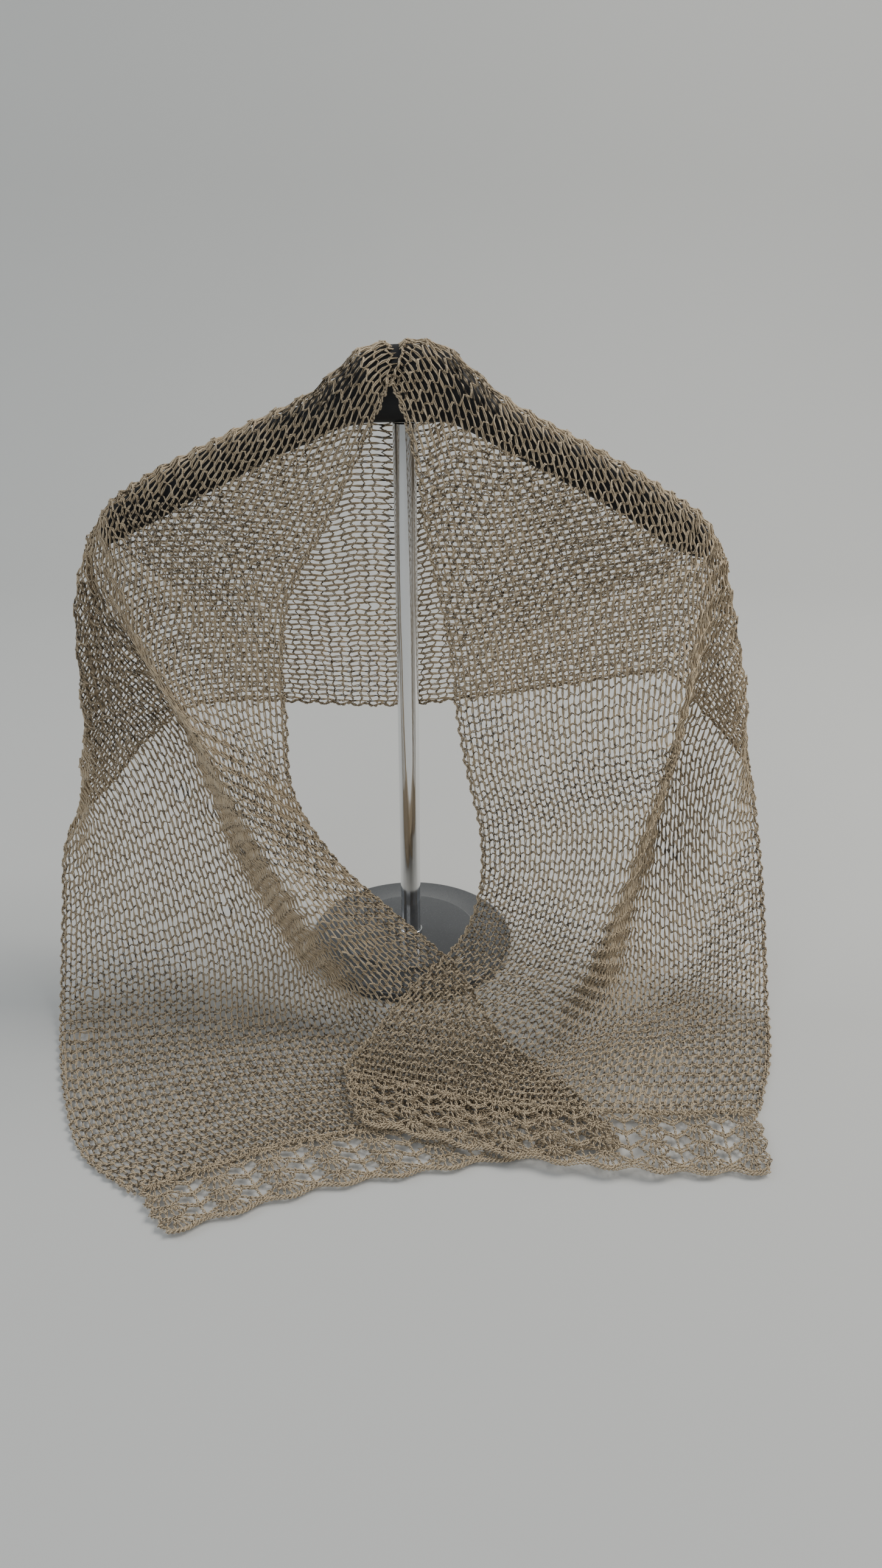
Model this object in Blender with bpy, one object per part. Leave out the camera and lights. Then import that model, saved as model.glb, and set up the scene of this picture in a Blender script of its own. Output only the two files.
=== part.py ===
# A hand-knitted stole with crocheted shell borders, draped over a display stand.
# Units are metres. The part stands on the table: z = 0 is the table, x runs to the
# right seen from the front, y runs away from the front, and the pole is at x = y = 0.
# The tables below are in millimetres and are scaled by mm.

import math
from collections import namedtuple

import bmesh
import bpy
import numpy as np

mm = 0.001

# Driving sizes of the stole
clothWall = 2.4 * mm          # a garter-stitch fabric of two strands held together
thinnestWall = 0.6 * mm       # where a fold's edge is pressed flat on the table
seamGap = 0.95 * mm           # along the stole between two stretches, 0.3 mm where its rows lean
laceDepth = 54 * mm           # crocheted border, from the knitting to its scallops
shellCount = 9                # columns of shells in each border
tierCount = 4                 # shells stacked in each column
scallopRise = 4 * mm          # how far a scallop stands out past its neighbours' notches

# Driving sizes of the stand
baseRadius = 83 * mm
baseRimHeight = 9 * mm
plateauRadius = 54 * mm
plateauHeight = 12 * mm
poleRadius = 8 * mm
collarWall = 0.8 * mm
collarHeight = 2.3 * mm
barClearance = 1.8 * mm       # between the middle of the cloth's lower side and the bar under it
touchGap = 0.3 * mm           # between hard pieces that stand on each other

# The shoulder bar's outline seen from the front, left end to right end
BarSection = namedtuple("BarSection", "along top bottom halfDepth")
shoulderBar = [
    BarSection(-214, 349, 344, 2.5),
    BarSection(-211, 354.5, 339, 7),
    BarSection(-206, 362.5, 339, 10),
    BarSection(-195, 371.5, 344, 11),
    BarSection(-169, 387, 357, 11),
    BarSection(-120, 410, 382, 11.5),
    BarSection(-92, 422.5, 396, 12),
    BarSection(-64, 435, 408, 12.5),
    BarSection(-42, 452, 417, 13.5),
    BarSection(-27, 465.5, 420.5, 14),
    BarSection(-14, 469.5, 421, 14),
    BarSection(0, 470.5, 421, 14),
    BarSection(16, 469, 421, 14),
    BarSection(30, 464.5, 420.5, 14),
    BarSection(46, 450, 414, 13.5),
    BarSection(67, 433, 403, 12.5),
    BarSection(92, 419.5, 390, 12),
    BarSection(125, 403, 373, 11.5),
    BarSection(161, 384, 353, 11),
    BarSection(195, 363, 332, 11),
    BarSection(206, 355, 329, 10),
    BarSection(213, 346, 330, 7),
    BarSection(216, 340, 335, 2.5),
]

# The stole's rows of knitting, each from the neck edge (inner) to the outer edge (hem).
# Stations run along the stole from its middle at the back of the neck, left negative.
# A shoulder row starts at the neck edge, goes up the front, crosses the bar at
# x = crossing and hangs down the back. wrap is the angle, in degrees from the top of
# the bar, at which it meets the bar in front. Behind the top, the row leaves the bar at
# flankDegrees. Rows lean outwards as they go round the bar.
ShoulderRow = namedtuple("ShoulderRow", "station inner crossing wrap hem")
shoulderRows = [
    ShoulderRow(-205, (-87, -43, 265), -214, 80, (-204, 8, 182)),
    ShoulderRow(-160, (-81, -38, 309), -186, 80, (-170, 16, 206)),
    ShoulderRow(-110, (-58, -33, 352), -140, 80, (-123, 18, 212)),
    ShoulderRow(-60, (-34, -29, 396), -84, 75, (-73, 18, 210)),
    ShoulderRow(-20, (-13, -23, 440), -26, 55, (-33, 18, 208)),
    ShoulderRow(0, (-8, -21, 449), 0, 48, (-13, 18, 208)),
    ShoulderRow(20, (-2, -23, 438), 22, 58, (7, 18, 209)),
    ShoulderRow(60, (9, -30, 398), 76, 75, (47, 18, 214)),
    ShoulderRow(110, (16, -34, 352), 128, 80, (97, 18, 221)),
    ShoulderRow(160, (25, -38, 308), 177, 80, (147, 18, 229)),
    ShoulderRow(205, (33, -42, 268), 213, 80, (192, 17, 236)),
]

shoulderRowStep = 10          # mm between the rows that are filled in
behindDegrees = 42            # the guide point behind the top of the bar
flankDegrees = 84
rowLean = 7 / 80              # mm outwards for each degree round the bar

# A front row runs from the inner edge over the ridge fold, back into the trough behind
# it, out to the side and on to the outer edge. belly pushes its outer flank backwards.
# Two more guide points lie at behindShare and flankShare of the way from side to hem.
FrontRow = namedtuple("FrontRow", "station inner ridge trough side hem belly")
leftFrontRows = [
    FrontRow(-649, (124, -201, 1.2), (66, -207, 1.2), (10, -217, 1.2), (-90, -240, 1.2), (-168, -277, 1.2), 0),
    FrontRow(-600, (102, -168, 1.2), (48, -188, 1.2), (0, -192, 1.2), (-110, -214, 1.2), (-204, -248, 1.2), 0),
    FrontRow(-540, (72, -135, 4), (15, -158, 6), (-25, -160, 1.2), (-125, -172, 1.2), (-231, -197, 1.2), 0),
    FrontRow(-480, (33, -92, 42), (-15, -124, 36), (-55, -112, 8), (-135, -125, 3), (-252, -138, 1.2), 0),
    FrontRow(-420, (-10, -83, 82), (-62, -113, 100), (-105, -62, 45), (-180, -75, 22), (-265, -85, 16), 0),
    FrontRow(-360, (-53, -72, 122), (-103, -98, 160), (-145, -35, 120), (-215, -45, 85), (-268, -48, 62), 0),
    FrontRow(-300, (-83, -58, 170), (-133, -86, 214), (-172, -15, 205), (-238, -26, 165), (-264, -20, 115), 2),
    FrontRow(-240, (-86, -50, 228), (-180, -42, 274), (-211, -14, 303), (-234, -4, 314), (-226, 0, 156), 12),
]
rightFrontRows = [
    FrontRow(250, (37, -46, 227), (200, -42, 282), (221, -13, 294), (237, -2, 290), (225, 8, 207), 8),
    FrontRow(300, (45, -53, 182), (183, -72, 217), (214, -10, 215), (252, -16, 200), (259, -9, 168), 2),
    FrontRow(350, (55, -62, 137), (168, -88, 168), (203, -12, 150), (248, -38, 125), (267, -28, 124), 0),
    FrontRow(400, (54, -73, 94), (141, -108, 99), (185, -42, 72), (232, -58, 62), (272, -47, 80), 0),
    FrontRow(450, (39, -92, 64), (118, -126, 62), (165, -85, 22), (215, -80, 15), (274, -69, 36), 0),
    FrontRow(500, (5, -118, 42), (85, -145, 42), (130, -135, 8), (190, -118, 3), (271, -106, 1.2), 0),
    FrontRow(550, (-26, -148, 18), (45, -167, 24), (87, -174, 8), (165, -160, 4.6), (259, -156, 1.2), 0),
    FrontRow(600, (-43, -171, 7), (30, -195, 9), (90, -205, 5.5), (168, -209, 4.6), (242, -203, 1.2), 0),
]

behindShare = 0.14
flankShare = 0.3

# The knitting ends here and the crocheted borders begin
leftKnitEnd = -649
rightKnitEnd = 600

# Beyond these stations the fronts lean over to lie on the table
leftFold = -450
rightFold = 430

# The scalloped rims, as two more rows
leftRimRow = FrontRow(leftKnitEnd - laceDepth / mm,
                      (144, -241, 1.2), (88, -249, 1.2), (20, -262, 1.2), (-70, -284, 1.2), (-137, -312, 1.2), 0)
rightRimRow = FrontRow(rightKnitEnd + laceDepth / mm,
                       (-27, -224, 5), (40, -246, 5), (100, -260, 4.8), (172, -266, 4.4), (233, -264, 1.2), 0)

# Stretches of the stole, each a node of its own, and how far apart its sections are
Stretch = namedtuple("Stretch", "name first last step")
stretches = [
    Stretch("left_end", leftKnitEnd, leftFold, 14.5),
    Stretch("left_front", leftFold, -172, 14.5),
    Stretch("left_shoulder", -172, -75, 11),
    Stretch("back_of_neck", -75, 75, 7),
    Stretch("right_shoulder", 75, 190, 11),
    Stretch("right_front", 190, rightFold, 14.5),
    Stretch("right_end", rightFold, rightKnitEnd, 14.5),
]
spansBetweenGuides = [3, 3, 3, 3, 2, 2, 2, 2]
laceShellShare = 0.56         # of a repeat, the solid shell
lacePostShare = 0.07          # of a repeat, the post between two holes
laceHoleShare = 0.52          # of a tier's height, the hole beside a post
laceRim = 3 * mm              # the chain along the scallops
sideNotch = 6 * mm            # how far the border's ends start inside the knitting's edges
notchFade = 2.2               # the border has its full width at 1 / notchFade of its depth

clothColour = (0.47, 0.36, 0.24, 1)


def splineThrough(knots, points, where):
    # a cubic through the points, each tangent taken from its two neighbours
    knots = np.asarray(knots, float)
    points = np.asarray(points, float)
    gaps = np.diff(knots)
    slopes = np.diff(points, axis=0) / gaps[:, None]
    tangents = np.empty_like(points)
    tangents[0], tangents[-1] = slopes[0], slopes[-1]
    share = (gaps[1:] / (gaps[:-1] + gaps[1:]))[:, None]
    tangents[1:-1] = slopes[:-1] * share + slopes[1:] * (1 - share)
    where = np.atleast_1d(np.asarray(where, float))
    span = np.clip(np.searchsorted(knots, where, side="right") - 1, 0, len(gaps) - 1)
    step = gaps[span][:, None]
    t = (where - knots[span])[:, None] / step
    return ((1 + 2 * t) * (1 - t) ** 2 * points[span] + t * (1 - t) ** 2 * step * tangents[span]
            + t * t * (3 - 2 * t) * points[span + 1] + t * t * (t - 1) * step * tangents[span + 1])


def barRingPoint(section, angle, grow=0.0):
    # a point on the bar's rounded cross-section, angle measured from its top towards the back
    middle = (section.top + section.bottom) / 2
    tall = (section.top - section.bottom) / 2 + grow
    deep = section.halfDepth + grow
    roundness = 0.8
    sine, cosine = math.sin(angle), math.cos(angle)
    return (section.along,
            math.copysign(deep * abs(sine) ** roundness, sine),
            middle + math.copysign(tall * abs(cosine) ** roundness, cosine))


def barSectionAt(along):
    # the bar's section anywhere along it, read from the table
    xs = [section.along for section in shoulderBar]
    return BarSection(along, *(float(np.interp(along, xs, [section[i] for section in shoulderBar]))
                               for i in (1, 2, 3)))


def mix(a, b, share):
    return tuple(p + (q - p) * share for p, q in zip(a, b))


def shoulderGuides(row):
    # nine points of a row that crosses the bar, in millimetres
    outward = np.sign(row.station)

    def onBar(degrees):
        x = row.crossing + outward * rowLean * degrees
        slope = (barSectionAt(x + 4).top - barSectionAt(x - 4).top) / 8
        grow = (clothWall / 2 + barClearance) / mm * math.hypot(1, slope)
        return barRingPoint(barSectionAt(x), math.radians(degrees), grow)

    ridge, trough, side = onBar(-row.wrap), onBar(-row.wrap / 2), onBar(0)
    behind, flank = onBar(behindDegrees), onBar(flankDegrees)
    return [row.inner, mix(row.inner, ridge, 0.5), ridge, trough, side,
            behind, flank, mix(flank, row.hem, 0.5), row.hem]


def frontGuides(row):
    # nine points of a row that hangs in front or lies on the table
    x, y, z = mix(row.side, row.hem, flankShare)
    flank = (x, y + row.belly, z)
    x, y, z = mix(row.side, row.hem, behindShare)
    behind = (x, y + row.belly * 0.7, z)
    return [row.inner, mix(row.inner, row.ridge, 0.5), row.ridge, row.trough, row.side,
            behind, flank, mix(flank, row.hem, 0.5), row.hem]


def filledShoulderRows():
    # the shoulder rows, close enough together to follow every bend of the bar
    stations = [row.station for row in shoulderRows]
    values = [[*row.inner, row.crossing, row.wrap, *row.hem] for row in shoulderRows]
    between = np.arange(stations[0], stations[-1] + 1, shoulderRowStep)
    return [ShoulderRow(float(station), tuple(v[:3]), float(v[3]), float(v[4]), tuple(v[5:]))
            for station, v in zip(between, splineThrough(stations, values, between))]


def stoleSections():
    # every row of the tables in order of station: (stations, guide points in metres)
    rows = [(row.station, shoulderGuides(row)) for row in filledShoulderRows()]
    for row in leftFrontRows + rightFrontRows + [leftRimRow, rightRimRow]:
        rows.append((row.station, frontGuides(row)))
    rows.sort(key=lambda row: row[0])
    stations = np.array([station for station, _ in rows], float)
    guides = np.array([points for _, points in rows], float) * mm
    return stations, guides


sectionStations, sectionGuides = stoleSections()


def guidePointsAt(station):
    flat = sectionGuides.reshape(len(sectionStations), -1)
    return splineThrough(sectionStations, flat, station)[0].reshape(-1, 3)


def rowByGuides(station, places):
    # points of a row; a place of 2.5 is halfway between guides 2 and 3
    guides = guidePointsAt(station)
    knots = np.concatenate([[0], np.cumsum(np.linalg.norm(np.diff(guides, axis=0), axis=1))])
    return splineThrough(knots, guides, np.interp(places, range(len(guides)), knots))


def rowByShare(station, shares):
    # points of a row at even shares of its length, neck edge 0 to outer edge 1
    fine = rowByGuides(station, np.linspace(0, 8, 161))
    lengths = np.concatenate([[0], np.cumsum(np.linalg.norm(np.diff(fine, axis=0), axis=1))])
    wanted = np.clip(shares, 0, 1) * lengths[-1]
    return np.stack([np.interp(wanted, lengths, fine[:, axis]) for axis in range(3)], axis=1)


def sheetNormals(stations, places, rowOf, placeStep):
    # unit normals of the cloth at a grid of stations and places
    normals = np.empty((len(stations), len(places), 3))
    lowest, highest = sectionStations[0], sectionStations[-1]
    for i, station in enumerate(stations):
        along = rowOf(min(station + 2, highest), places) - rowOf(max(station - 2, lowest), places)
        across = (rowOf(station, np.minimum(places + placeStep, places.max()))
                  - rowOf(station, np.maximum(places - placeStep, places.min())))
        normal = np.cross(along, across)
        normals[i] = normal / np.linalg.norm(normal, axis=1)[:, None]
    return normals


def newObject(name, mesh, colour, roughness, metallic=0.0):
    material = bpy.data.materials.new(name + "_material")
    material.use_nodes = True
    shader = material.node_tree.nodes["Principled BSDF"]
    shader.inputs["Base Color"].default_value = colour
    shader.inputs["Roughness"].default_value = roughness
    shader.inputs["Metallic"].default_value = metallic
    mesh.materials.append(material)
    made = bpy.data.objects.new(name, mesh)
    bpy.context.scene.collection.objects.link(made)
    return made


def clothObject(name, middle, normals, keep):
    # a closed wall on both sides of the middle surface; cells that aren't kept are holes
    rows, columns = middle.shape[:2]
    lower = middle - normals * clothWall / 2
    upper = middle + normals * clothWall / 2
    if normals[..., 2].mean() < 0:
        lower, upper = upper, lower
    lower[..., 2] = np.maximum(lower[..., 2], 0)
    upper[..., 2] = np.maximum(upper[..., 2], thinnestWall)
    work = bmesh.new()
    used = {}

    def vertex(side, i, j):
        if (side, i, j) not in used:
            used[side, i, j] = work.verts.new((lower, upper)[side][i, j])
        return used[side, i, j]

    def kept(i, j):
        return 0 <= i < rows - 1 and 0 <= j < columns - 1 and keep[i, j]

    for i in range(rows - 1):
        for j in range(columns - 1):
            if not keep[i, j]:
                continue
            corners = [(i, j), (i, j + 1), (i + 1, j + 1), (i + 1, j)]
            neighbours = [(i - 1, j), (i, j + 1), (i + 1, j), (i, j - 1)]
            work.faces.new([vertex(1, *corner) for corner in corners])
            work.faces.new([vertex(0, *corner) for corner in reversed(corners)])
            for k in range(4):
                if not kept(*neighbours[k]):
                    a, b = corners[k], corners[(k + 1) % 4]
                    work.faces.new([vertex(0, *a), vertex(0, *b), vertex(1, *b), vertex(1, *a)])
    bmesh.ops.recalc_face_normals(work, faces=work.faces)
    mesh = bpy.data.meshes.new(name)
    work.to_mesh(mesh)
    work.free()
    mesh.shade_smooth()
    mesh.set_sharp_from_angle(angle=math.radians(50))
    return newObject(name, mesh, clothColour, 0.9)


def stretchOfCloth(stretch):
    # one knitted stretch of the stole between two stations
    gap = seamGap / mm / 2
    count = round((stretch.last - stretch.first) / stretch.step)
    stations = np.linspace(stretch.first + gap, stretch.last - gap, count + 1)
    places = np.concatenate([np.arange(spans) / spans + guide
                             for guide, spans in enumerate(spansBetweenGuides)] + [[8.0]])
    middle = np.array([rowByGuides(station, places) for station in stations])
    normals = sheetNormals(stations, places, rowByGuides, 0.05)
    whole = np.ones((len(stations) - 1, len(places) - 1), bool)
    return clothObject(stretch.name, middle, normals, whole)


def laceColumns():
    # shares across the border and whether the cells between them can hold a hole
    repeat = 1 / (shellCount - 1 + laceShellShare)
    shell, post = repeat * laceShellShare, repeat * lacePostShare
    hole = (repeat - shell - post) / 2
    shares, canOpen = [0.0], []
    for index in range(shellCount):
        spans = [(shell / 2, False), (shell / 2, False)]
        if index < shellCount - 1:
            spans += [(hole, True), (post, False), (hole, True)]
        for width, opened in spans:
            shares.append(shares[-1] + width)
            canOpen.append(opened)
    return np.array(shares), canOpen


def laceRows():
    # depths below the knitting, and whether the cells between them can hold a hole
    tier = laceDepth / tierCount
    depths, canOpen = [0.0], []
    for _ in range(tierCount):
        for height, opened in [(tier * (1 - laceHoleShare), False), (tier * laceHoleShare, True)]:
            depths.append(depths[-1] + height)
            canOpen.append(opened)
    depths = np.array(depths + [depths[-1] + laceRim])
    return depths * laceDepth / depths[-1], canOpen + [False]


def laceBorder(name, knitEnd, outward, seam):
    # a crocheted border: shells, posts and holes, with a scalloped rim, seam past the knitting's end
    shares, columnOpen = laceColumns()
    depths, rowOpen = laceRows()
    repeat = 1 / (shellCount - 1 + laceShellShare)
    swell = np.cos((shares - repeat * laceShellShare / 2) / repeat * 2 * math.pi) * 0.5 + 0.5
    width = np.linalg.norm(rowByShare(knitEnd, np.array([0.0]))[0] - rowByShare(knitEnd, np.array([1.0]))[0])
    middle = np.empty((len(depths), len(shares), 3))
    normals = np.empty_like(middle)
    limit = laceDepth / mm
    for i, depth in enumerate(depths):
        fall = depth / laceDepth
        notch = sideNotch / width * max(0.0, 1 - notchFade * fall)
        across = notch + shares * (1 - 2 * notch)
        for j, share in enumerate(across):
            reach = depth - scallopRise * fall * (1 - swell[j]) + seam
            station = knitEnd + outward * min(reach / mm, limit)
            middle[i, j] = rowByShare(station, np.array([share]))[0]
            normals[i, j] = sheetNormals([station - outward], np.array([0.0, share, 1.0]),
                                         rowByShare, 0.02)[0, 1]
    keep = np.array([[not (a and b) for b in columnOpen] for a in rowOpen])
    return clothObject(name, middle, normals, keep)


def turnedObject(name, profile, segments, colour, roughness, metallic):
    # a profile of (radius, height) turned about the pole's axis into a closed solid
    work = bmesh.new()
    rings = []
    for radius, height in profile:
        if radius == 0:
            rings.append([work.verts.new((0, 0, height))] * segments)
            continue
        angles = [2 * math.pi * k / segments for k in range(segments)]
        rings.append([work.verts.new((radius * math.cos(a), radius * math.sin(a), height)) for a in angles])
    closed = profile[0][0] != 0
    pairs = list(zip(rings, rings[1:])) + ([(rings[-1], rings[0])] if closed else [])
    for low, high in pairs:
        for k in range(segments):
            n = (k + 1) % segments
            corners = []
            for corner in (low[k], low[n], high[n], high[k]):
                if corner not in corners:
                    corners.append(corner)
            work.faces.new(corners)
    bmesh.ops.recalc_face_normals(work, faces=work.faces)
    mesh = bpy.data.meshes.new(name)
    work.to_mesh(mesh)
    work.free()
    mesh.shade_smooth()
    mesh.set_sharp_from_angle(angle=math.radians(35))
    return newObject(name, mesh, colour, roughness, metallic)


def standBase():
    # the round foot: a rim with a rounded edge, a shallow step up to a flat plateau
    edge = 3 * mm
    arc = [(baseRadius - edge + edge * math.cos(math.radians(a)),
            baseRimHeight - edge + edge * math.sin(math.radians(a))) for a in (0, 30, 60, 90)]
    profile = [(0, 0), (baseRadius - 1 * mm, 0), (baseRadius, 1 * mm)] + arc
    profile += [(plateauRadius + 2 * mm, baseRimHeight + 0.4 * mm), (plateauRadius, plateauHeight - 0.4 * mm),
                (plateauRadius - 1 * mm, plateauHeight), (0, plateauHeight)]
    return turnedObject("stand_base", profile, 60, (0.06, 0.065, 0.07, 1), 0.2, 0.3)


def standPole():
    top = barSectionAt(0).bottom * mm - touchGap
    bottom = plateauHeight + touchGap
    profile = [(0, bottom), (poleRadius, bottom), (poleRadius, top), (0, top)]
    return turnedObject("stand_pole", profile, 32, (0.8, 0.8, 0.8, 1), 0.08, 1.0)


def poleCollar():
    # a thin ring round the foot of the pole
    inner, low = poleRadius + touchGap, plateauHeight + touchGap
    outer, high = inner + collarWall, low + collarHeight
    profile = [(inner, low), (outer, low), (outer, high - 0.5 * mm), (outer - 0.5 * mm, high), (inner, high)]
    return turnedObject("pole_collar", profile, 32, (0.8, 0.8, 0.8, 1), 0.1, 1.0)


def shoulderBarObject():
    # the black bar that carries the stole, lofted through its table of sections
    sides = 16
    work = bmesh.new()
    rings = []
    for section in shoulderBar:
        ring = [barRingPoint(section, 2 * math.pi * (k + 0.5) / sides) for k in range(sides)]
        rings.append([work.verts.new([value * mm for value in point]) for point in ring])
    for low, high in zip(rings, rings[1:]):
        for k in range(sides):
            n = (k + 1) % sides
            work.faces.new([low[k], low[n], high[n], high[k]])
    work.faces.new(rings[0])
    work.faces.new(rings[-1])
    bmesh.ops.recalc_face_normals(work, faces=work.faces)
    mesh = bpy.data.meshes.new("shoulder_bar")
    work.to_mesh(mesh)
    work.free()
    mesh.shade_smooth()
    mesh.set_sharp_from_angle(angle=math.radians(50))
    return newObject("shoulder_bar", mesh, (0.01, 0.01, 0.01, 1), 0.5)


def build():
    for leftover in list(bpy.data.objects):
        bpy.data.objects.remove(leftover, do_unlink=True)
    standBase()
    standPole()
    poleCollar()
    shoulderBarObject()
    for stretch in stretches:
        stretchOfCloth(stretch)
    laceBorder("left_border", leftKnitEnd, -1, seamGap)
    laceBorder("right_border", rightKnitEnd, 1, seamGap / 2)


build()
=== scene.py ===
import math
from collections import namedtuple

import bpy
import numpy as np
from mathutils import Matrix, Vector


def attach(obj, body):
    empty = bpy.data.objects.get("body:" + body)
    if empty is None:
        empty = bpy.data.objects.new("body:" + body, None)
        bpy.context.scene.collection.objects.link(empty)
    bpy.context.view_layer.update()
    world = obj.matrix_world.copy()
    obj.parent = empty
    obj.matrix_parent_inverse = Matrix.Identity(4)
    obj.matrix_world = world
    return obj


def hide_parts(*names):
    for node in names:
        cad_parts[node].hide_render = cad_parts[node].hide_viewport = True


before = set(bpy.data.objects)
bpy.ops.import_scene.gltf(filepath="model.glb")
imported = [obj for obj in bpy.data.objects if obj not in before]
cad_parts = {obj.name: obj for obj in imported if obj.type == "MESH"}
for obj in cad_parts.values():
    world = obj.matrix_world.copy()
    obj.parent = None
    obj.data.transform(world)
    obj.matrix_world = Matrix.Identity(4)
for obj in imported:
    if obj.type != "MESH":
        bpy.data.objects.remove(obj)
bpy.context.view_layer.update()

mm = 0.001
rng = np.random.default_rng(7)     # one seeded source for all the unevenness of handwork
sceneCollection = bpy.context.scene.collection

# The camera stands where the photograph was taken from

camera = {
    "place": (0.0248, -0.807, 0.552),   # metres, from the middle of the stand's foot
    "pitchDown": 26.6,                  # degrees
    "lens": 26.55,                      # mm on a frame that is 36 mm tall
}


def makeCamera():
    data = bpy.data.cameras.new("camera")
    data.sensor_fit = "VERTICAL"
    data.sensor_height = 36
    data.sensor_width = 36
    data.lens = camera["lens"]
    data.clip_start = 0.01
    made = bpy.data.objects.new("camera", data)
    made.location = camera["place"]
    made.rotation_euler = (math.radians(90 - camera["pitchDown"]), 0, 0)
    sceneCollection.objects.link(made)
    bpy.context.scene.camera = made


makeCamera()
print("camera set")

# Shader maths: an output socket that adds its own nodes when it is used in an expression


class Value:
    def __init__(self, graph, socket):
        self.graph = graph
        self.socket = socket

    def math(self, operation, *others):
        return self.graph.node("Math", {"operation": operation}, [self, *others])

    def __add__(self, other):
        return self.math("ADD", other)

    def __radd__(self, other):
        return self.graph.node("Math", {"operation": "ADD"}, [other, self])

    def __sub__(self, other):
        return self.math("SUBTRACT", other)

    def __rsub__(self, other):
        return self.graph.node("Math", {"operation": "SUBTRACT"}, [other, self])

    def __mul__(self, other):
        return self.math("MULTIPLY", other)

    def __rmul__(self, other):
        return self.graph.node("Math", {"operation": "MULTIPLY"}, [other, self])

    def clamped(self):
        return self.graph.node("Clamp", {}, [self, 0.0, 1.0])


class Graph:
    # the node tree of one material
    def __init__(self, name, **constants):
        self.material = bpy.data.materials.new(name)
        self.material.use_nodes = True
        self.tree = self.material.node_tree
        self.shader = self.tree.nodes["Principled BSDF"]
        for socket, value in constants.items():
            self.shader.inputs[socket.replace("_", " ")].default_value = value

    def node(self, kind, settings, sockets, output=0):
        made = self.tree.nodes.new("ShaderNode" + kind)
        for key, value in settings.items():
            if key == "stops":
                ramp = made.color_ramp.elements
                while len(ramp) < len(value):
                    ramp.new(0.5)
                for element, (place, colour) in zip(ramp, value):
                    element.position = place
                    element.color = (*colour, 1)
            else:
                setattr(made, key, value)
        pairs = sockets.items() if isinstance(sockets, dict) else enumerate(sockets)
        for key, value in pairs:
            if isinstance(value, Value):
                self.tree.links.new(value.socket, made.inputs[key])
            elif isinstance(value, tuple) and len(value) == 3 and made.inputs[key].type == "RGBA":
                made.inputs[key].default_value = (*value, 1)
            else:
                made.inputs[key].default_value = value
        return Value(self, made.outputs[output])

    def position(self):
        return self.node("TexCoord", {}, [], "Object")

    def noise(self, scale, detail=2.0, roughness=0.5, vector=None):
        return self.node("TexNoise", {}, {"Vector": vector or self.position(), "Scale": scale,
                                          "Detail": detail, "Roughness": roughness}, "Fac")

    def mixed(self, share, first, second):
        return self.node("Mix", {"data_type": "RGBA"}, {0: share, 6: first, 7: second}, 2)

    def ramp(self, share, *stops):
        return self.node("ValToRGB", {"stops": stops}, [share])

    def feed(self, socket, value):
        self.tree.links.new(value.socket, self.shader.inputs[socket])

    def bump(self, height, strength, distance):
        self.feed("Normal", self.node("Bump", {}, {"Strength": strength, "Distance": distance, "Height": height}))


# Room: a pale table that sweeps up into a pale backdrop, under soft daylight

room = {
    "floorColour": (0.60, 0.60, 0.58),
    "wallDistance": 1.0,        # metres behind the stand, where the sweep starts to rise
    "sweepRadius": 0.6,
    "halfWidth": 3.0,
    "height": 3.0,
    "skyColour": (0.80, 0.86, 0.92),
    "skyStrength": 0.42,
}
lamps = [  # name, place, aim, width, height, watts, colour
    ("windowLight", (1.25, 0.25, 1.75), (0.0, 0.0, 0.25), 1.1, 1.1, 34, (1.0, 0.97, 0.92)),
    ("frontFill", (-0.9, -1.7, 1.3), (0.0, 0.0, 0.2), 1.4, 1.0, 9, (0.93, 0.96, 1.0)),
    ("leftSky", (-1.6, 0.5, 1.5), (0.0, 0.0, 0.2), 1.2, 1.2, 9, (0.90, 0.95, 1.0)),
]


def meshObject(name, points, faces, materials):
    mesh = bpy.data.meshes.new(name)
    mesh.from_pydata([tuple(p) for p in points], [], [tuple(f) for f in faces])
    mesh.validate()
    mesh.shade_smooth()
    for material in materials:
        mesh.materials.append(material)
    made = bpy.data.objects.new(name, mesh)
    sceneCollection.objects.link(made)
    return made


def makeRoom():
    graph = Graph("backdrop_paper", Roughness=0.85)
    tone = graph.noise(3.0, 3.0)
    graph.feed("Base Color", graph.mixed(tone, room["floorColour"],
                                         tuple(0.96 * c for c in room["floorColour"])))
    profile = [(-3.0, 0.0), (room["wallDistance"], 0.0)]
    for degrees in range(6, 91, 6):
        turn = math.radians(degrees)
        profile.append((room["wallDistance"] + room["sweepRadius"] * math.sin(turn),
                        room["sweepRadius"] * (1 - math.cos(turn))))
    profile.append((profile[-1][0], room["height"]))
    points = [(side * room["halfWidth"], y, z) for y, z in profile for side in (-1, 1)]
    faces = [(2 * i, 2 * i + 1, 2 * i + 3, 2 * i + 2) for i in range(len(profile) - 1)]
    meshObject("backdrop", points, faces, [graph.material])
    world = bpy.data.worlds.new("sky")
    world.use_nodes = True
    background = world.node_tree.nodes["Background"]
    background.inputs["Color"].default_value = (*room["skyColour"], 1)
    background.inputs["Strength"].default_value = room["skyStrength"]
    bpy.context.scene.world = world
    for name, place, aim, width, height, watts, colour in lamps:
        data = bpy.data.lights.new(name, "AREA")
        data.shape = "RECTANGLE"
        data.size, data.size_y = width, height
        data.energy = watts
        data.color = colour
        made = bpy.data.objects.new(name, data)
        made.location = place
        made.rotation_euler = (Vector(aim) - Vector(place)).to_track_quat("-Z", "Y").to_euler()
        sceneCollection.objects.link(made)


makeRoom()
print("room and lights set")

# The drape of the stole: the same tables of rows as the solids are made from, in mm

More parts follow.
